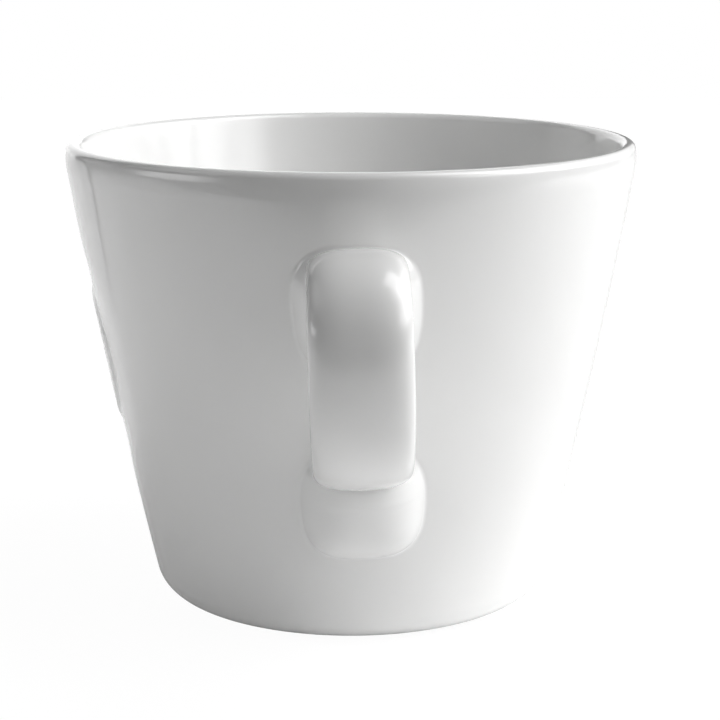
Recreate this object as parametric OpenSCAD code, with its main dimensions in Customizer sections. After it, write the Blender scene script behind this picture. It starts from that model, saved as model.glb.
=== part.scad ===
// Shaving mug: a tapered porcelain cup with a flat strap handle.
// The origin is the centre of the foot, on the table. +Z is up and the handle points to -Y.

/* [Cup] */
// Outside diameter of the wall's line at the lip
rim_d = 100; // [96:1:104]
// Height at which the wall's line reaches that diameter
wall_top = 79.6; // [78:0.1:81]
// Height from the table to the top of the lip
cup_h = 80.9; // [79:0.1:84]
// Outside diameter where the wall's line would meet the table
base_d = 68.6; // [67:0.2:70]
// How far the wall bows out at half its height
wall_bow = 0.7; // [0:0.1:1.2]
// Radius of the round lip
lip_r = 1.3; // [1:0.1:1.5]
// How far the lip draws in from the wall's line
lip_draw_in = 0.45; // [0.2:0.05:0.6]
// Radius of the slow curve that draws the lip in
lip_sweep_r = 12; // [10:0.5:16]
// Wall thickness just below the lip
top_wall_t = 3.1; // [2.6:0.1:3.6]
// Wall thickness at the bottom of the cup
base_wall_t = 4; // [3:0.1:4.5]
// Thickness of the cup's floor
floor_t = 3.8; // [3:0.1:5]
// Radius of the outside corner between wall and base
corner_r = 5.5; // [5:0.1:6]
// Radius of the inside corner between wall and floor
inner_corner_r = 9; // [7:0.5:11]

/* [Foot] */
// Outside diameter of the bare foot ring
foot_d = 61; // [60:0.5:62]
// Width of the foot ring
foot_w = 3.4; // [2.8:0.1:4]
// Height of the foot ring, which is also the depth of the hollow inside it
foot_h = 1.5; // [1.2:0.1:2]
// How far the foot ring stands below the glazed corner
foot_proud = 0.3; // [0.2:0.05:0.5]
// Radius of the foot ring's two lower edges
foot_edge_r = 0.5; // [0.3:0.1:0.8]

/* [Handle] */
// Width of the strap
strap_w = 15.4; // [14:0.1:17]
// Thickness of the strap
strap_t = 6.5; // [6:0.1:7]
// Radius of the strap's long edges
strap_edge_r = 2.6; // [2:0.1:2.9]
// Distance from the cup's axis to the strap's outermost face
handle_reach = 72.5; // [71:0.1:75]
// Height of both bends' centres, where the strap stands upright
bend_z = 58.9; // [58:0.1:60]
// Middle radius of the tight upper bend
upper_bend_r = 9; // [8.5:0.1:9.5]
// Middle radius of the wide lower bend
lower_bend_r = 24.8; // [24:0.1:27]
// How steeply the upper arm climbs away from the wall
arm_rise = 30; // [26:1:34]
// How far the lower bend turns in towards the wall
tail_turn = 76; // [72:1:80]

/* [Root pads] */
// Width of the upper pad
upper_pad_w = 19.8; // [19:0.1:22]
// Height of the upper pad
upper_pad_h = 21; // [19:0.1:22]
// Height above the table of the upper pad's middle
upper_pad_z = 58.7; // [58:0.1:60]
// Corner radius of the upper pad
upper_corner_r = 8; // [6:0.1:9]
// How far the upper pad's crown stands off the wall
upper_pad_proud = 5.2; // [4.5:0.1:6]
// Width of the lower pad
lower_pad_w = 19.8; // [19:0.1:22]
// Height of the lower pad's wide part
lower_pad_h = 17.6; // [16:0.1:18]
// Height above the table of the lower pad's middle
lower_pad_z = 25.7; // [24:0.1:27]
// Corner radius of the lower pad
lower_corner_r = 6; // [5:0.1:7]
// How far the lower pad's neck rises above the pad's middle
neck_h = 11; // [10:0.1:13]
// How far the lower pad's crown stands off the wall
lower_pad_proud = 5.6; // [4.5:0.1:6.5]
// Radius of the pads' crowned faces
pad_crown_r = 24; // [22:1:30]
// Thickness of the slip that joins a pad to the wall
slip_t = 0.6; // [0.4:0.1:0.8]
// How far the slip squeezes out round a pad
slip_bead = 0.9; // [0.5:0.1:1.3]

/* [Medallion] */
// Diameter of the raised disc
medallion_d = 27; // [24:0.5:29]
// Diameter of the shallow field that the disc lies in
field_d = 44; // [40:0.5:46]
// Depth of the field
field_depth = 0.3; // [0.15:0.05:0.4]
// How far the disc stands out past the wall
medallion_proud = 0.15; // [0.1:0.05:0.4]
// Width of the step round the disc
medallion_step = 2.2; // [1:0.1:3]
// Height above the table of the disc's centre
medallion_z = 43.5; // [40:0.5:46]

/* [Hidden] */
$fn = 96;
rim_r = rim_d / 2;
base_r = base_d / 2;
foot_r = foot_d / 2;
floor_z = foot_h + floor_t;
wall_steps = 12;
corner_steps = 8;
reach_mid = handle_reach - strap_t / 2;
upper_bend_c = [reach_mid - upper_bend_r, bend_z, 0];
lower_bend_c = [reach_mid - lower_bend_r, bend_z, 0];
stub_l = 16;
lap = 0.2;
hair = 0.02;
edge_steps = 6;
lip_steps = 12;
neck_w = strap_w - 2;
// Pads and discs are cut from prisms that start this far inside the wall's face.
sunk = 5;
prism_l = 20;
glaze_white = [0.93, 0.93, 0.92];
bare_white = [0.86, 0.84, 0.80];

// The outer wall is a straight taper with a slight bow.
function outer_r(z) = base_r + (rim_r - base_r) * z / wall_top
                      + 4 * wall_bow * (z / wall_top) * (1 - z / wall_top);
function wall_lean(z) = atan((rim_r - base_r + 4 * wall_bow * (1 - 2 * z / wall_top)) / wall_top);
function wall_t(z) = top_wall_t + (base_wall_t - top_wall_t) * (1 - z / wall_top);
function inner_r(z) = outer_r(z) - wall_t(z);

function arc(centre, r, from, to, steps) =
    [for (i = [0 : steps]) let (a = from + (to - from) * i / steps) centre + r * [cos(a), sin(a)]];

// Both corners are arcs that meet the wall smoothly. Their centres lie on a level line.
corner_z = foot_proud + corner_r;
corner_lean = wall_lean(corner_z);
corner_c = [outer_r(corner_z) - corner_r / cos(corner_lean), corner_z];
wall_start = corner_z - corner_r * sin(corner_lean);
inner_z = floor_z + inner_corner_r;
inner_lean = wall_lean(inner_z);
inner_c = [inner_r(inner_z) - inner_corner_r / cos(inner_lean), inner_z];
inner_start = inner_z - inner_corner_r * sin(inner_lean);

// The lip is a slow curve in from the wall's line, then a small arc over the top.
lip_z = cup_h - lip_r;
lip_lean = wall_lean(lip_z);
lip_along = [sin(lip_lean), cos(lip_lean)];
lip_inward = [-cos(lip_lean), sin(lip_lean)];
lip_deep = lip_r + lip_draw_in;
lip_swing = acos(1 - lip_draw_in / (lip_sweep_r - lip_r));
lip_c = [outer_r(lip_z), lip_z] + lip_deep * (lip_inward - tan(lip_lean) * lip_along);
sweep_c = lip_c - (lip_sweep_r - lip_r) * sin(lip_swing) * lip_along
          + (lip_sweep_r - lip_deep) * lip_inward;
inner_lip_turn = 180 - atan(tan(lip_lean) + (base_wall_t - top_wall_t) / wall_top);
lip_start = sweep_c[1] - lip_sweep_r * sin(lip_lean);

function wall_line(grow) =
    [for (i = [0 : wall_steps]) let (z = wall_start + (lip_start - wall_start) * i / wall_steps)
        [outer_r(z) + grow, z]];
function inner_line() =
    [for (i = [wall_steps - 1 : -1 : 0]) let (z = inner_start + (lip_z - inner_start) * i / wall_steps)
        [inner_r(z), z]];
function lip_line() = concat(
    [for (p = arc(sweep_c, lip_sweep_r, -lip_lean, lip_swing - lip_lean, edge_steps))
        if (p[1] > lip_start) p],
    [for (p = arc(lip_c, lip_r, lip_swing - lip_lean, inner_lip_turn, lip_steps))
        if (p[1] > lip_c[1] + lip_r * sin(lip_swing - lip_lean) || p[0] < lip_c[0]) p]);

// A solid of the whole cup without its hollow, with its wall moved out by grow.
module wall_core(grow) {
    rotate_extrude()
        polygon(concat([[0, wall_start]], wall_line(grow), [[0, lip_start]]));
}

// Places its children on the wall at height z, with their +Z pointing out of the wall.
module on_wall(z, turn = 0) {
    rotate([0, 0, turn])
        translate([0, -outer_r(z), z])
            rotate([90 + wall_lean(z), 0, 0])
                children();
}

module rounded_rect(w, h, r) {
    square([w - 2 * r, h], center = true);
    square([w, h - 2 * r], center = true);
    for (x = [-1, 1], y = [-1, 1])
        translate([x * (w / 2 - r), y * (h / 2 - r)])
            circle(r);
}

// The disc and its field are cylinders through the wall at the -X side.
module side_disc(d) {
    on_wall(medallion_z, -90)
        translate([0, 0, -sunk])
            cylinder(d = d, h = 2 * sunk);
}

module cup_body() {
    color(glaze_white)
        difference() {
            rotate_extrude()
                polygon(concat(
                    [[0, foot_h], [foot_r, foot_h]],
                    arc(corner_c, corner_r, -acos((foot_r - corner_c[0]) / corner_r), -corner_lean,
                        corner_steps),
                    [for (p = wall_line(0)) if (p[1] > wall_start) p],
                    lip_line(),
                    inner_line(),
                    [for (p = arc(inner_c, inner_corner_r, -inner_lean, -90, corner_steps))
                        if (p[1] < inner_start) p],
                    [[0, floor_z]]));
            difference() {
                side_disc(field_d);
                wall_core(-field_depth);
            }
        }
}

module foot_ring() {
    color(bare_white)
        rotate_extrude()
            translate([foot_r - foot_w, 0]) {
                translate([0, foot_edge_r])
                    square([foot_w, foot_h - foot_edge_r]);
                translate([foot_edge_r, 0])
                    square([foot_w - 2 * foot_edge_r, foot_h]);
                for (x = [foot_edge_r, foot_w - foot_edge_r])
                    translate([x, foot_edge_r])
                        circle(foot_edge_r);
            }
}

// Turns a side view, drawn with X outwards and Y up, to stand in the Y-Z plane along -Y.
module side_view() {
    rotate([90, 0, -90])
        children();
}

// The strap's section, with trim taken off all round. Its four corners are arcs.
module strap_section(trim) {
    half = [strap_t / 2 - strap_edge_r, strap_w / 2 - strap_edge_r];
    signs = [[1, 1], [-1, 1], [-1, -1], [1, -1]];
    polygon([for (q = [0 : 3])
        let (corner = [signs[q][0] * half[0], signs[q][1] * half[1]])
            each arc(corner, strap_edge_r - trim, 90 * q, 90 * q + 90, edge_steps)]);
}

// One bend of the strap in the side view, from one angle round its centre to another.
module strap_bend(centre, r, from, to, trim) {
    translate(centre)
        rotate([0, 0, from])
            rotate_extrude(angle = to - from)
                translate([r, 0])
                    strap_section(trim);
}

// A straight stub that runs on from the end of a bend, one way round it or the other.
module strap_stub(centre, r, at, way, trim) {
    translate(centre)
        rotate([0, 0, at])
            translate([r, 0, 0])
                rotate([-90 * way, 0, 0])
                    translate([0, 0, -lap])
                        linear_extrude(stub_l + lap)
                            strap_section(trim);
}

// Each length starts a little way inside the one before it and is a hair slimmer, so that
// the lengths join as one solid.
module handle_strap() {
    top_turn = 90 + arm_rise;
    lap_angle = lap / lower_bend_r * 180 / PI;
    color(glaze_white)
        difference() {
            side_view() {
                strap_bend(upper_bend_c, upper_bend_r, 0, top_turn, 0);
                strap_bend(lower_bend_c, lower_bend_r, -tail_turn, lap_angle, hair);
                strap_stub(upper_bend_c, upper_bend_r, top_turn, 1, hair);
                strap_stub(lower_bend_c, lower_bend_r, -tail_turn, -1, 2 * hair);
            }
            wall_core(slip_t);
            upper_pad_shape();
            lower_pad_shape();
        }
}

// A pad is a prism standing on the wall, cut to a crowned face by a sphere.
module pad_shape(z, proud) {
    on_wall(z)
        intersection() {
            translate([0, 0, -sunk])
                linear_extrude(prism_l)
                    children();
            translate([0, 0, proud - pad_crown_r])
                sphere(pad_crown_r);
        }
}

module upper_pad_outline(grow) {
    rounded_rect(upper_pad_w + 2 * grow, upper_pad_h + 2 * grow, upper_corner_r + grow);
}

// The lower pad's neck runs up behind the strap's tail.
module lower_pad_outline(grow) {
    rounded_rect(lower_pad_w + 2 * grow, lower_pad_h + 2 * grow, lower_corner_r + grow);
    translate([0, neck_h / 2])
        rounded_rect(neck_w + 2 * grow, neck_h + 2 * grow, strap_edge_r + grow);
}

module upper_pad_shape() {
    pad_shape(upper_pad_z, upper_pad_proud)
        upper_pad_outline(0);
}

module lower_pad_shape() {
    pad_shape(lower_pad_z, lower_pad_proud)
        lower_pad_outline(0);
}

module upper_root_pad() {
    color(glaze_white)
        difference() {
            upper_pad_shape();
            wall_core(slip_t);
        }
}

module lower_root_pad() {
    color(glaze_white)
        difference() {
            lower_pad_shape();
            wall_core(slip_t);
        }
}

// A thin layer on the wall, a little wider than its pad.
module slip_layer(z) {
    color(glaze_white)
        difference() {
            intersection() {
                on_wall(z)
                    translate([0, 0, -sunk])
                        linear_extrude(prism_l)
                            children();
                wall_core(slip_t);
            }
            wall_core(0);
        }
}

module upper_slip_joint() {
    slip_layer(upper_pad_z)
        upper_pad_outline(slip_bead);
}

module lower_slip_joint() {
    slip_layer(lower_pad_z)
        lower_pad_outline(slip_bead);
}

module side_medallion() {
    color(glaze_white)
        union() {
            difference() {
                intersection() {
                    side_disc(medallion_d);
                    wall_core(0);
                }
                wall_core(-field_depth);
            }
            difference() {
                intersection() {
                    side_disc(medallion_d - 2 * medallion_step);
                    wall_core(medallion_proud);
                }
                wall_core(-field_depth);
            }
        }
}

cup_body();
foot_ring();
handle_strap();
upper_root_pad();
lower_root_pad();
upper_slip_joint();
lower_slip_joint();
side_medallion();
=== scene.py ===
"""A glazed porcelain shaving mug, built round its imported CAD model.

Everything is in metres in the CAD frame: the origin is the middle of the foot, +Z is up and
the handle points to -Y. MM turns millimetres into metres.
"""

import math

import bpy
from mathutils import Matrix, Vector


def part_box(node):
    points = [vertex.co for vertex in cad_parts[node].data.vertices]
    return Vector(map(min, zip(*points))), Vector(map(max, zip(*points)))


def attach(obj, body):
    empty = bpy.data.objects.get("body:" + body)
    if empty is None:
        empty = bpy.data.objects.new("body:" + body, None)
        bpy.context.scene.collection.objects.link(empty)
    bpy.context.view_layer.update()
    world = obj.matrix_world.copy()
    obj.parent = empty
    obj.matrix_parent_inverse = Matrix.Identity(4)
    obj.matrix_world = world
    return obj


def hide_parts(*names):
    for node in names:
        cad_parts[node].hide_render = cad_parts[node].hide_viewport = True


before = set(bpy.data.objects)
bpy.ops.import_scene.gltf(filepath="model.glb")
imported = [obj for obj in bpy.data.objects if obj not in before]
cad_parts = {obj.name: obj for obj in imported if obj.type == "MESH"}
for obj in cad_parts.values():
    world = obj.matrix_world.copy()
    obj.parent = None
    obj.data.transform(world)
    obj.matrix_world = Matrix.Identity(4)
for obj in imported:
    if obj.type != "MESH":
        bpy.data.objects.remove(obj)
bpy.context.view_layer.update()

MM = 0.001

# The cup, from the CAD boxes where they say it and from its design where they don't.
CUP_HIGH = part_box("cup_body")[1]
FOOT_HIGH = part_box("foot_ring")[1]
STRAP_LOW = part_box("handle_strap")[0]
RIM_R = 50 * MM
CUP_H = CUP_HIGH.z
FOOT_R = FOOT_HIGH.x
FOOT_H = FOOT_HIGH.z
BASE_R = 34.3 * MM
WALL_BOW = 0.7 * MM
WALL_TOP = 79.6 * MM
LIP_R = 1.3 * MM
LIP_DRAW_IN = 0.45 * MM
LIP_SWEEP_R = 12 * MM
BASE_WALL_T = 4.0 * MM
TOP_WALL_T = 3.1 * MM
FLOOR_T = 3.8 * MM
CORNER_R = 5.5 * MM
INNER_CORNER_R = 9 * MM
FOOT_W = 3.4 * MM
FOOT_PROUD = 0.3 * MM
FOOT_EDGE_R = 0.5 * MM
HOLLOW_EDGE = 0.1 * MM

# The handle.
STRAP_T = 6.5 * MM
REACH = -STRAP_LOW.y
BEND_Z = 58.9 * MM
UPPER_BEND_R = 9 * MM
LOWER_BEND_R = 24.8 * MM
ARM_RISE = math.radians(30)
TAIL_TURN = math.radians(76)
STRAP_TOP_W = 14.8 * MM
STRAP_TAIL_W = 15.6 * MM
STRAP_POWER = 2.7
STRAP_CROWN = 0.2 * MM
HANDLE_LEAN = math.radians(1.85)
LEAN_Z = 57.5 * MM
TOP_RUN = 12 * MM
TAIL_RUN = 10 * MM

# The medallion.
MEDALLION_Z = 43.5 * MM
MEDALLION_R = 13.5 * MM
FIELD_R = 22 * MM
FIELD_DEPTH = 0.3 * MM
FIELD_EDGE_START = 0.72 * FIELD_R
FIELD_EDGE_W = 0.36 * FIELD_R
MEDALLION_PROUD = 0.15 * MM
MEDALLION_EDGE_W = 2.2 * MM
MEDALLION_LAP = 0.1 * MM

# How finely shapes are cut: round the cup, along an outline before it is evened out and after,
# down the outside and the inside of the wall, and from a pad's foot to its crown.
ROUND_STEPS = 320
FINE_STEPS = 480
OUTLINE_STEPS = 144
OUTSIDE_ROWS = 96
INSIDE_ROWS = 40
PAD_ROWS = 30

# Edges sharper than this stay sharp.
SHARP = math.radians(40)


# ---------------------------------------------------------------- the wall

def outer_r(z):
    """Radius of the cup's outer wall at height z."""
    t = z / WALL_TOP
    return BASE_R + (RIM_R - BASE_R) * t + 4 * WALL_BOW * t * (1 - t)


def wall_lean(z):
    """How far the wall leans out from upright at height z."""
    return math.atan((RIM_R - BASE_R + 4 * WALL_BOW * (1 - 2 * z / WALL_TOP)) / WALL_TOP)


def inner_r(z):
    """Radius of the cup's inner wall at height z."""
    return outer_r(z) - TOP_WALL_T - (BASE_WALL_T - TOP_WALL_T) * (1 - z / WALL_TOP)


def on_wall(u, v, h, centre_z, turn=0.0):
    """The point u across, v up and h out from the wall at centre_z. turn=0 is the -Y side."""
    z = centre_z + v * math.cos(wall_lean(centre_z))
    r = outer_r(z)
    lean = wall_lean(z)
    angle = turn + u / outer_r(centre_z)
    out = Vector((math.sin(angle), -math.cos(angle), 0))
    normal = out * math.cos(lean) - Vector((0, 0, math.sin(lean)))
    return out * r + Vector((0, 0, z)) + normal * h


# ---------------------------------------------------------------- mesh tools

def arc(centre, radius, start, end, steps):
    """Points on an arc, with its angles in degrees."""
    angles = [math.radians(start + (end - start) * i / steps) for i in range(steps + 1)]
    return [(centre[0] + radius * math.cos(a), centre[1] + radius * math.sin(a)) for a in angles]


def smoothstep(x):
    """0 below 0, 1 above 1 and a smooth rise between."""
    x = min(max(x, 0.0), 1.0)
    return x * x * (3 - 2 * x)


def superellipse(a, b, power, count):
    """Points on a rounded oblong of half sizes a and b."""
    points = []
    for j in range(count):
        t = 2 * math.pi * j / count
        c, s = math.cos(t), math.sin(t)
        points.append((math.copysign(abs(c) ** (2 / power), c) * a,
                       math.copysign(abs(s) ** (2 / power), s) * b))
    return points


def outline_normals(outline):
    """The outward normal at each point of a closed 2D outline."""
    normals = []
    for j in range(len(outline)):
        ahead = outline[(j + 1) % len(outline)]
        behind = outline[j - 1]
        dx, dy = ahead[0] - behind[0], ahead[1] - behind[1]
        size = math.hypot(dx, dy)
        normals.append((dy / size, -dx / size))
    return normals


def even_outline(shape, count):
    """The same outline with its points evenly spaced."""
    lengths = [0.0]
    for a, b in zip(shape, shape[1:] + shape[:1]):
        lengths.append(lengths[-1] + math.hypot(b[0] - a[0], b[1] - a[1]))
    result = []
    k = 0
    for j in range(count):
        want = lengths[-1] * j / count
        while lengths[k + 1] < want:
            k += 1
        share = (want - lengths[k]) / (lengths[k + 1] - lengths[k])
        a, b = shape[k], shape[(k + 1) % len(shape)]
        result.append((a[0] + (b[0] - a[0]) * share, a[1] + (b[1] - a[1]) * share))
    return result


def make_piece(name, points, faces, material):
    """A smooth mesh piece that rides on the mug. Corners sharper than SHARP stay sharp."""
    mesh = bpy.data.meshes.new(name)
    mesh.from_pydata([tuple(p) for p in points], [], faces)
    mesh.validate()
    mesh.shade_smooth()
    mesh.set_sharp_from_angle(angle=SHARP)
    piece = bpy.data.objects.new(name, mesh)
    bpy.context.scene.collection.objects.link(piece)
    mesh.materials.append(material)
    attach(piece, "root")
    return piece


def rings_to_faces(rings, count, loop_closed):
    """Quads between rings of count points. A closed loop joins the last ring to the first."""
    faces = []
    for i in range(rings if loop_closed else rings - 1):
        a = i * count
        b = ((i + 1) % rings) * count
        for j in range(count):
            k = (j + 1) % count
            faces.append((a + j, a + k, b + k, b + j))
    return faces


def capped(points, faces, rings, count, first, last):
    """Adds a pole at each end of a stack of rings, so that the mesh is closed."""
    points += [first, last]
    low, high = len(points) - 2, len(points) - 1
    top = (rings - 1) * count
    for j in range(count):
        k = (j + 1) % count
        faces.append((low, k, j))
        faces.append((high, top + j, top + k))


def lathe(name, profile, material, shape=None):
    """Turns a profile of (radius, height) about Z. A profile that ends on the axis gets poles."""
    poles = profile[0][0] < 1e-9
    body = profile[1:-1] if poles else profile
    points = []
    for r, z in body:
        for j in range(ROUND_STEPS):
            a = 2 * math.pi * j / ROUND_STEPS
            rr = shape(r, z, a) if shape else r
            points.append((rr * math.cos(a), rr * math.sin(a), z))
    faces = rings_to_faces(len(body), ROUND_STEPS, not poles)
    if poles:
        capped(points, faces, len(body), ROUND_STEPS, (0, 0, profile[0][1]), (0, 0, profile[-1][1]))
    return make_piece(name, points, faces, material)


# ---------------------------------------------------------------- materials

def node(tree, kind, **values):
    """A shader node with its properties and input defaults set by name."""
    made = tree.nodes.new(kind)
    for key, value in values.items():
        if key in made.inputs:
            made.inputs[key].default_value = value
        else:
            setattr(made, key, value)
    return made


def porcelain(name, tint, roughness, ripple, coat):
    """White porcelain under a clear glaze, with a faint mottle and a rippled gloss."""
    material = bpy.data.materials.new(name)
    material.use_nodes = True
    tree = material.node_tree
    shader = tree.nodes["Principled BSDF"]
    link = tree.links.new
    place = node(tree, "ShaderNodeTexCoord")
    mottle = node(tree, "ShaderNodeTexNoise", Scale=60.0, Detail=3.0, Roughness=0.5)
    colours = node(tree, "ShaderNodeValToRGB")
    colours.color_ramp.elements[0].position = 0.3
    colours.color_ramp.elements[0].color = (*[c * 0.985 for c in tint], 1)
    colours.color_ramp.elements[1].position = 0.7
    colours.color_ramp.elements[1].color = (*tint, 1)
    link(place.outputs["Object"], mottle.inputs["Vector"])
    link(mottle.outputs["Fac"], colours.inputs["Fac"])
    link(colours.outputs["Color"], shader.inputs["Base Color"])
    waves = node(tree, "ShaderNodeTexNoise", Scale=45.0, Detail=1.0, Roughness=0.4)
    grain = node(tree, "ShaderNodeTexNoise", Scale=900.0, Detail=2.0, Roughness=0.5)
    link(place.outputs["Object"], waves.inputs["Vector"])
    link(place.outputs["Object"], grain.inputs["Vector"])
    slow = node(tree, "ShaderNodeBump", Strength=ripple, Distance=0.0006)
    fine = node(tree, "ShaderNodeBump", Strength=ripple * 0.4, Distance=0.00003)
    link(waves.outputs["Fac"], slow.inputs["Height"])
    link(grain.outputs["Fac"], fine.inputs["Height"])
    link(slow.outputs["Normal"], fine.inputs["Normal"])
    link(fine.outputs["Normal"], shader.inputs["Normal"])
    link(slow.outputs["Normal"], shader.inputs["Coat Normal"])
    shader.inputs["Roughness"].default_value = roughness
    shader.inputs["IOR"].default_value = 1.5
    shader.inputs["Coat Weight"].default_value = coat
    shader.inputs["Coat Roughness"].default_value = 0.09
    shader.inputs["Coat IOR"].default_value = 1.5
    return material


WHITE = (0.92, 0.92, 0.915)
glaze = porcelain("porcelain_glaze", WHITE, 0.35, 0.12, 1.0)
bare = porcelain("bare_porcelain", (0.78, 0.76, 0.72), 0.7, 0.5, 0.0)


# ---------------------------------------------------------------- the cup

def medallion_place(point_z, angle):
    """Distance from the medallion's middle, measured on the wall. angle runs from +X."""
    away = angle % (2 * math.pi) - math.pi
    u = away * outer_r(MEDALLION_Z)
    v = (point_z - MEDALLION_Z) / math.cos(wall_lean(MEDALLION_Z))
    return math.hypot(u, v)


def cup_shape(r, z, angle):
    """Sinks the round field that the medallion lies in. Only the outer wall is touched."""
    if r < inner_r(z) + LIP_R or z > MEDALLION_Z + 1.5 * FIELD_R:
        return r
    away = medallion_place(z, angle)
    return r - FIELD_DEPTH * (1 - smoothstep((away - FIELD_EDGE_START) / FIELD_EDGE_W))


def lip_arcs():
    """The lip's section: a slow arc in from the wall line, then a small one over the top."""
    centre_z = CUP_H - LIP_R
    lean = wall_lean(centre_z)
    along = (math.sin(lean), math.cos(lean))
    inward = (-math.cos(lean), math.sin(lean))
    depth = LIP_R + LIP_DRAW_IN
    back = depth * inward[1] / along[1]
    small = (outer_r(centre_z) - back * along[0] + depth * inward[0], centre_z)
    swing = math.acos(1 - LIP_DRAW_IN / (LIP_SWEEP_R - LIP_R))
    down = (LIP_SWEEP_R - LIP_R) * math.sin(swing)
    deep = LIP_SWEEP_R - depth
    large = (small[0] - down * along[0] + deep * inward[0],
             small[1] - down * along[1] + deep * inward[1])
    start = -math.degrees(lean)
    middle = start + math.degrees(swing)
    inner_slope = math.tan(lean) + (BASE_WALL_T - TOP_WALL_T) / WALL_TOP
    inner_start = math.degrees(math.pi - math.atan(inner_slope))
    sweep = arc(large, LIP_SWEEP_R, start, middle, 12)
    return sweep[:-1] + arc(small, LIP_R, middle, inner_start, 26)


def cup_profile():
    """The cup's section, from the middle of its underside, round the outside and down the inside."""
    corner_z = FOOT_PROUD + CORNER_R
    lean = wall_lean(corner_z)
    corner = (outer_r(corner_z) - CORNER_R / math.cos(lean), corner_z)
    start = math.degrees(-math.acos((FOOT_R - corner[0]) / CORNER_R))
    profile = [(0, FOOT_H), (FOOT_R * 0.5, FOOT_H)]
    profile += [(FOOT_R - HOLLOW_EDGE, FOOT_H), (FOOT_R, FOOT_H - HOLLOW_EDGE)]
    profile += arc(corner, CORNER_R, start, -math.degrees(lean), 14)
    wall_start = corner_z - CORNER_R * math.sin(lean)
    lip = lip_arcs()
    for i in range(1, OUTSIDE_ROWS):
        z = wall_start + (lip[0][1] - wall_start) * i / OUTSIDE_ROWS
        profile.append((outer_r(z), z))
    profile += lip
    inner_z = FOOT_H + FLOOR_T + INNER_CORNER_R
    lean = wall_lean(inner_z)
    inner = (inner_r(inner_z) - INNER_CORNER_R / math.cos(lean), inner_z)
    inner_start = inner_z - INNER_CORNER_R * math.sin(lean)
    for i in range(1, INSIDE_ROWS):
        z = lip[-1][1] + (inner_start - lip[-1][1]) * i / INSIDE_ROWS
        profile.append((inner_r(z), z))
    profile += arc(inner, INNER_CORNER_R, -math.degrees(lean), -90, 14)
    profile += [(inner[0] * 0.5, FOOT_H + FLOOR_T), (0, FOOT_H + FLOOR_T)]
    return profile


cup = lathe("Cup_body", cup_profile(), glaze, cup_shape)
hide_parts("cup_body")


def foot_profile():
    """The bare ring's section, with its two lower edges rounded."""
    edge = FOOT_EDGE_R
    low, high = FOOT_R - FOOT_W, FOOT_R
    profile = [(low, FOOT_H)]
    profile += arc((low + edge, edge), edge, 180, 270, 6)
    profile += arc((high - edge, edge), edge, 270, 360, 6)
    profile += [(high, FOOT_H)]
    return profile


foot = lathe("Foot_ring", foot_profile(), bare)
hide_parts("foot_ring")


# ---------------------------------------------------------------- the handle

def lean_over(point):
    """The handle was set on by hand and is turned a little about Y."""
    c, s = math.cos(HANDLE_LEAN), math.sin(HANDLE_LEAN)
    x, up = point[0], point[2] - LEAN_Z
    return Vector((x * c - up * s, point[1], LEAN_Z + up * c + x * s))


def lean_on_wall(u, v, h, centre_z):
    """A point of a pad on the wall, turned with the handle."""
    c, s = math.cos(HANDLE_LEAN), math.sin(HANDLE_LEAN)
    shift = (LEAN_Z - centre_z) * s
    return on_wall(u * c - v * s + shift, v * c + u * s, h, centre_z)


def strap_path():
    """(distance out, height, heading) along the middle of the strap. A heading of 0 points up."""
    mid = REACH - STRAP_T / 2
    upper = (mid - UPPER_BEND_R, BEND_Z)
    lower = (mid - LOWER_BEND_R, BEND_Z)
    stations = []
    top_turn = math.pi / 2 + ARM_RISE
    for i in range(14):
        back = TOP_RUN * (1 - i / 14)
        at = (upper[0] + UPPER_BEND_R * math.cos(top_turn) - back * math.sin(top_turn),
              upper[1] + UPPER_BEND_R * math.sin(top_turn) + back * math.cos(top_turn))
        stations.append((*at, top_turn))
    for i in range(37):
        a = top_turn * (1 - i / 36)
        stations.append((upper[0] + UPPER_BEND_R * math.cos(a),
                         upper[1] + UPPER_BEND_R * math.sin(a), a))
    for i in range(1, 49):
        a = -TAIL_TURN * i / 48
        stations.append((lower[0] + LOWER_BEND_R * math.cos(a),
                         lower[1] + LOWER_BEND_R * math.sin(a), a))
    for i in range(1, 13):
        on = TAIL_RUN * i / 12
        at = (lower[0] + LOWER_BEND_R * math.cos(-TAIL_TURN) - on * math.sin(TAIL_TURN),
              lower[1] + LOWER_BEND_R * math.sin(-TAIL_TURN) - on * math.cos(TAIL_TURN))
        stations.append((*at, -TAIL_TURN))
    return stations


def build_strap():
    """The strap: a crowned section swept along the handle's side view."""
    count = 96
    stations = strap_path()
    points = []
    for i, (out, z, angle) in enumerate(stations):
        share = smoothstep(i / (0.6 * len(stations)))
        half_w = (STRAP_TOP_W + (STRAP_TAIL_W - STRAP_TOP_W) * share) / 2
        radial = Vector((0, -math.cos(angle), math.sin(angle)))
        section = superellipse(half_w, STRAP_T / 2 - STRAP_CROWN, STRAP_POWER, FINE_STEPS)
        for across, thick in even_outline(section, count):
            crown = STRAP_CROWN * (1 - (across / half_w) ** 2)
            thick += math.copysign(crown, thick)
            points.append(lean_over(Vector((across, -out, z)) + radial * thick))
    faces = rings_to_faces(len(stations), count, False)
    first = lean_over((0, -stations[0][0], stations[0][1]))
    last = lean_over((0, -stations[-1][0], stations[-1][1]))
    capped(points, faces, len(stations), count, first, last)
    return make_piece("Handle_strap", points, faces, glaze)


strap = build_strap()
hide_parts("handle_strap")


# ---------------------------------------------------------------- pads on the wall

# The hollow of the slip: its radius, and the slope at which the pad takes over from it.
SLIP_R = 1.1 * MM
SLIP_SLOPE = math.radians(50)
# How far the pads and the slip reach into the wall, and how far the pads lie under the slip.
SUNK = 0.8 * MM
SLIP_SUNK = 0.5 * MM
LAP = 0.04 * MM
RIDGE_W = 0.55 * MM
# Above 1, a pad's rows lie closer together at its foot, where it turns fastest.
PAD_CROWDING = 1.3

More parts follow.
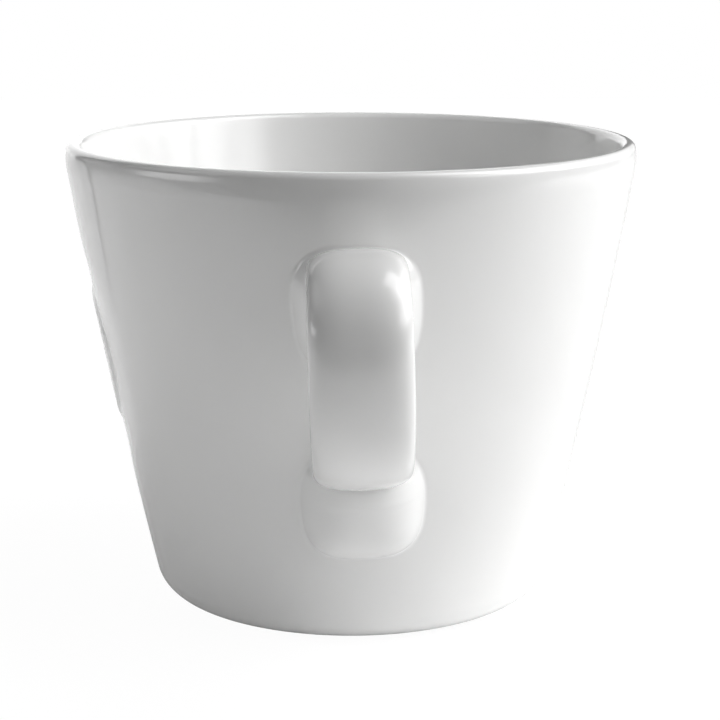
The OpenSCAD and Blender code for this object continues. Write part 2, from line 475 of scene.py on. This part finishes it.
def two_part_oval(half_w, above, above_power, below, below_power):
    """An oval of one width whose upper and lower halves have their own height and squareness."""
    upper = superellipse(half_w, above, above_power, FINE_STEPS)
    lower = superellipse(half_w, below, below_power, FINE_STEPS)
    shape = [up if up[1] >= 0 else low for up, low in zip(upper, lower)]
    return even_outline(shape, OUTLINE_STEPS)


def crown_height(v, crown_h, tilt, ridge_v, ridge_h):
    """A pad's full height at v up from its middle: its crown, a slope and a soft ridge across it."""
    return crown_h + (tilt * v + ridge_h * math.exp(-((v - ridge_v) / RIDGE_W) ** 2))


def slip_arc(steps):
    """The slip's section as (distance out, height): level at the wall, then up to the pad's slope."""
    angles = [SLIP_SLOPE * i / steps for i in range(steps + 1)]
    reach = SLIP_R * math.sin(SLIP_SLOPE)
    return [(reach - SLIP_R * math.sin(a), SLIP_R * (1 - math.cos(a))) for a in angles]


def build_pad(name, outline, centre_z, crown_h, tilt=0.0, ridge_v=0.0, ridge_h=0.0):
    """A pillow on the wall. Its foot follows the slip, then it swells smoothly to its crown."""
    normals = outline_normals(outline)
    count = len(outline)
    crown = (crown_h, tilt, ridge_v, ridge_h)
    arc_rows = slip_arc(10)
    foot = [(arc_rows[0][0] + LAP, -SUNK)]
    foot += [(out + LAP, h - LAP) for out, h in arc_rows]
    points = []
    for out, h in foot:
        for (u, v), (nu, nv) in zip(outline, normals):
            points.append(lean_on_wall(u + nu * out, v + nv * out, h, centre_z))
    base = foot[-1][1]
    for i in range(1, PAD_ROWS):
        share = (i / PAD_ROWS) ** PAD_CROWDING
        for (u, v), (nu, nv) in zip(outline, normals):
            edge_height = crown_height(v, *crown) - base
            fullness = math.tan(SLIP_SLOPE) * (u * nu + v * nv) / edge_height
            rise = 1 - (1 - share) ** fullness
            u, v = (u + nu * LAP) * (1 - share), (v + nv * LAP) * (1 - share)
            height = crown_height(v, *crown) - base
            points.append(lean_on_wall(u, v, base + height * rise, centre_z))
    rings = len(foot) + PAD_ROWS - 1
    faces = rings_to_faces(rings, count, False)
    first = lean_on_wall(0, 0, -SUNK, centre_z)
    last = lean_on_wall(0, 0, crown_height(0, *crown), centre_z)
    capped(points, faces, rings, count, first, last)
    return make_piece(name, points, faces, glaze)


def build_slip(name, outline, centre_z):
    """The slip squeezed out round a pad: a hollow sweep from the wall up to the pad's foot."""
    normals = outline_normals(outline)
    rows = slip_arc(20)
    section = [(-SLIP_SUNK, rows[-1][1]), (-SLIP_SUNK, -SLIP_SUNK), (rows[0][0], -SLIP_SUNK)] + rows
    points = []
    for out, h in section:
        for (u, v), (nu, nv) in zip(outline, normals):
            points.append(lean_on_wall(u + nu * out, v + nv * out, h, centre_z))
    faces = rings_to_faces(len(section), len(outline), True)
    return make_piece(name, points, faces, glaze)


UPPER_PAD_Z = 58.7 * MM
LOWER_PAD_Z = 25.7 * MM
UPPER_CROWN = 5.2 * MM
LOWER_CROWN = 4.8 * MM
LOWER_TILT = 0.1
LOWER_RIDGE_V = 2.4 * MM
LOWER_RIDGE_H = 0.08 * MM
UPPER_OVAL = two_part_oval(9.8 * MM, 10.8 * MM, 2.9, 11.1 * MM, 2.5)
LOWER_OVAL = two_part_oval(9.9 * MM, 10.9 * MM, 2.4, 9.5 * MM, 3.0)

upper_pad = build_pad("Upper_root_pad", UPPER_OVAL, UPPER_PAD_Z, UPPER_CROWN)
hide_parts("upper_root_pad")
lower_pad = build_pad("Lower_root_pad", LOWER_OVAL, LOWER_PAD_Z, LOWER_CROWN,
                      LOWER_TILT, LOWER_RIDGE_V, LOWER_RIDGE_H)
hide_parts("lower_root_pad")
upper_slip = build_slip("Upper_slip_joint", UPPER_OVAL, UPPER_PAD_Z)
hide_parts("upper_slip_joint")
lower_slip = build_slip("Lower_slip_joint", LOWER_OVAL, LOWER_PAD_Z)
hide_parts("lower_slip_joint")


def build_medallion():
    """The plain round medallion: a low disc with a soft edge, on the -X side."""
    left = -math.pi / 2
    proud, edge, hidden = MEDALLION_PROUD, MEDALLION_EDGE_W, SUNK
    rows = [(MEDALLION_R, -hidden), (MEDALLION_R, -FIELD_DEPTH - MEDALLION_LAP)]
    for i in range(1, 13):
        share = i / 12
        height = -FIELD_DEPTH + (proud + FIELD_DEPTH) * smoothstep(share)
        rows.append((MEDALLION_R - edge * share, height))
    for i in range(1, 12):
        rows.append(((MEDALLION_R - edge) * (1 - i / 12), proud))
    count = OUTLINE_STEPS
    points = []
    for r, h in rows:
        for j in range(count):
            a = 2 * math.pi * j / count
            points.append(on_wall(r * math.cos(a), r * math.sin(a), h, MEDALLION_Z, left))
    faces = rings_to_faces(len(rows), count, False)
    first = on_wall(0, 0, -hidden, MEDALLION_Z, left)
    last = on_wall(0, 0, proud, MEDALLION_Z, left)
    capped(points, faces, len(rows), count, first, last)
    return make_piece("Side_medallion", points, faces, glaze)


medallion = build_medallion()
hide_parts("side_medallion")


# ---------------------------------------------------------------- floor, light and camera

TABLE_WHITE = (0.92, 0.92, 0.92)
BLEACH = 0.93
BLEACH_GLOW = 1.03
# Painted light: the table glows faintly, GLOW_LEFT up to GLOW_LEFT_X, fading to GLOW_RIGHT from
# GLOW_RIGHT_X on. The glow stands in for light falling on the table's left and bouncing onto the mug.
GLOW_LEFT = 0.26
GLOW_RIGHT = 0.05
GLOW_LEFT_X = -0.16
GLOW_RIGHT_X = -0.03


def stage_material(name, colour, bleach):
    """A matt white table with a painted glow towards its left. The camera sees most of its shade
    bleached out, as in a light tent.
    """
    material = bpy.data.materials.new(name)
    material.use_nodes = True
    tree = material.node_tree
    link = tree.links.new
    shader = tree.nodes["Principled BSDF"]
    noise = node(tree, "ShaderNodeTexNoise", Scale=8.0, Detail=2.0)
    ramp = node(tree, "ShaderNodeValToRGB")
    ramp.color_ramp.elements[0].color = (*[c * 0.98 for c in colour], 1)
    ramp.color_ramp.elements[1].color = (*colour, 1)
    link(noise.outputs["Fac"], ramp.inputs["Fac"])
    link(ramp.outputs["Color"], shader.inputs["Base Color"])
    shader.inputs["Roughness"].default_value = 0.9
    place = node(tree, "ShaderNodeTexCoord")
    across = node(tree, "ShaderNodeSeparateXYZ")
    # Painted light: the table's glow, strong on its left and faint on its right, stands in for light
    # bouncing onto the mug.
    painted_glow_ramp = node(tree, "ShaderNodeMapRange")
    painted_glow_ramp.inputs["From Min"].default_value = GLOW_LEFT_X
    painted_glow_ramp.inputs["From Max"].default_value = GLOW_RIGHT_X
    painted_glow_ramp.inputs["To Min"].default_value = GLOW_LEFT
    painted_glow_ramp.inputs["To Max"].default_value = GLOW_RIGHT
    link(place.outputs["Object"], across.inputs["Vector"])
    link(across.outputs["X"], painted_glow_ramp.inputs["Value"])
    link(painted_glow_ramp.outputs["Result"], shader.inputs["Emission Strength"])
    glow = node(tree, "ShaderNodeEmission", Strength=BLEACH_GLOW)
    seen = node(tree, "ShaderNodeLightPath")
    share = node(tree, "ShaderNodeMath", operation="MULTIPLY")
    share.inputs[1].default_value = bleach
    mix = node(tree, "ShaderNodeMixShader")
    link(seen.outputs["Is Camera Ray"], share.inputs[0])
    link(share.outputs["Value"], mix.inputs["Fac"])
    link(shader.outputs["BSDF"], mix.inputs[1])
    link(glow.outputs["Emission"], mix.inputs[2])
    link(mix.outputs["Shader"], tree.nodes["Material Output"].inputs["Surface"])
    return material


# The table in plan. The seam is what shows as the thin dark line down the left of the wall.
TABLE_FRONT = -0.18
TABLE_BACK = 1.0
TABLE_SIDE = 1.2
SEAM_TIP = (-0.15, 0.079)
SEAM_FRONT_Y = 0.735
SEAM_BACK_Y = 0.890


def build_floor():
    """A white table top in two sheets. The seam between them opens away from the mug."""
    mesh = bpy.data.meshes.new("Floor")
    flat = [(-TABLE_SIDE, TABLE_FRONT), (TABLE_SIDE, TABLE_FRONT),
            (TABLE_SIDE, SEAM_TIP[1]), SEAM_TIP,
            (-TABLE_SIDE, SEAM_FRONT_Y), (TABLE_SIDE, TABLE_BACK), (-TABLE_SIDE, TABLE_BACK),
            (-TABLE_SIDE, SEAM_BACK_Y)]
    mesh.from_pydata([(x, y, 0) for x, y in flat], [], [(0, 1, 2, 3, 4), (3, 2, 5, 6, 7)])
    floor = bpy.data.objects.new("Floor", mesh)
    bpy.context.scene.collection.objects.link(floor)
    mesh.materials.append(stage_material("table_white", TABLE_WHITE, BLEACH))
    return floor


build_floor()

# The point that every soft light faces.
MIDDLE = Vector((0, 0, 0.04))


def feather(tree, across, edge):
    """A ramp from 0 at one edge of a panel to 1 inside it and back to 0 at the other edge."""
    middle = node(tree, "ShaderNodeMath", operation="SUBTRACT")
    middle.inputs[1].default_value = 0.5
    away = node(tree, "ShaderNodeMath", operation="ABSOLUTE")
    ramp = node(tree, "ShaderNodeMapRange", interpolation_type="SMOOTHSTEP")
    ramp.inputs["From Min"].default_value = 0.5
    ramp.inputs["From Max"].default_value = 0.5 - edge
    tree.links.new(across, middle.inputs[0])
    tree.links.new(middle.outputs["Value"], away.inputs[0])
    tree.links.new(away.outputs["Value"], ramp.inputs["Value"])
    return ramp.outputs["Result"]


def soft_box(name, turn, lift, away, width, height, radiance, side_feather, end_feather):
    """A soft light facing the mug, turned from the front towards +X and lifted, in degrees."""
    a, e = math.radians(turn), math.radians(lift)
    way = Vector((math.cos(e) * math.sin(a), -math.cos(e) * math.cos(a), math.sin(e)))
    light = bpy.data.lights.new(name, "AREA")
    light.shape = "RECTANGLE"
    light.size = width
    light.size_y = height
    light.energy = math.pi * width * height * radiance
    light.use_nodes = True
    tree = light.node_tree
    place = node(tree, "ShaderNodeNewGeometry")
    split = node(tree, "ShaderNodeSeparateXYZ")
    both = node(tree, "ShaderNodeMath", operation="MULTIPLY")
    tree.links.new(place.outputs["Parametric"], split.inputs["Vector"])
    tree.links.new(feather(tree, split.outputs["X"], side_feather), both.inputs[0])
    tree.links.new(feather(tree, split.outputs["Y"], end_feather), both.inputs[1])
    tree.links.new(both.outputs["Value"], tree.nodes["Emission"].inputs["Strength"])
    box = bpy.data.objects.new(name, light)
    box.location = MIDDLE + way * away
    box.rotation_euler = (-way).to_track_quat("-Z", "Y").to_euler()
    bpy.context.scene.collection.objects.link(box)
    return box


# Each row: name, turn and lift in degrees, distance, width and height in metres, radiance, and
# the share of the width and of the height over which each edge fades out.
LIGHTS = [
    ("Window_front", 50, 22, 1.0, 0.52, 0.46, 3.0, 0.45, 0.15),
    ("Window_front_high", 50, 50, 1.0, 0.40, 0.50, 0.9, 0.3, 0.2),
    ("Window_middle", 69, 34, 1.0, 0.52, 0.92, 4.1, 0.42, 0.08),
    ("Window_rear", 88, 34, 1.0, 0.38, 0.92, 5.0, 0.3, 0.08),
    ("Window_side", 105, 31, 1.0, 0.36, 0.86, 2.4, 0.3, 0.08),
    ("Window_top", 84, 66, 1.0, 0.60, 0.42, 3.6, 0.2, 0.2),
    ("Side_wall", 122, 28, 1.0, 0.44, 0.90, 1.1, 0.2, 0.1),
    ("Backdrop_right", 145, 18, 1.1, 0.74, 0.85, 0.75, 0.05, 0.05),
    ("Backdrop_left", 196, 18, 1.1, 1.05, 0.85, 1.25, 0.05, 0.05),
    ("Left_card", 243, 12, 1.0, 0.45, 0.40, 0.45, 0.1, 0.1),
    ("Left_low", 288, 5, 1.0, 0.90, 0.20, 3.0, 0.35, 0.2),
    ("Left_high", 280, 40, 1.0, 0.90, 0.50, 0.8, 0.2, 0.1),
]
for row in LIGHTS:
    soft_box(*row)


def build_world():
    """White behind everything that the camera sees. It gives no light of its own."""
    world = bpy.data.worlds.new("Studio")
    bpy.context.scene.world = world
    world.use_nodes = True
    tree = world.node_tree
    background = tree.nodes["Background"]
    background.inputs["Color"].default_value = (1, 1, 1, 1)
    seen = node(tree, "ShaderNodeLightPath")
    tree.links.new(seen.outputs["Is Camera Ray"], background.inputs["Strength"])


build_world()

CAMERA_AWAY = 345.4 * MM
CAMERA_Z = 117.9 * MM
CAMERA_PITCH = math.radians(12.54)
CAMERA_TURN = math.radians(1.15)
CAMERA_YAW = math.radians(0.26)
SENSOR_W = 36
LENS = 98.5


def build_camera():
    """The camera looks at the handle from a little above the rim."""
    data = bpy.data.cameras.new("Camera")
    data.sensor_width = SENSOR_W
    data.lens = LENS
    data.clip_start = 0.01
    camera = bpy.data.objects.new("Camera", data)
    camera.location = (-CAMERA_AWAY * math.sin(CAMERA_TURN),
                       -CAMERA_AWAY * math.cos(CAMERA_TURN), CAMERA_Z)
    camera.rotation_euler = (math.pi / 2 - CAMERA_PITCH, 0, -CAMERA_TURN - CAMERA_YAW)
    bpy.context.scene.collection.objects.link(camera)
    bpy.context.scene.camera = camera


build_camera()

scene = bpy.context.scene
scene.view_settings.view_transform = "Standard"
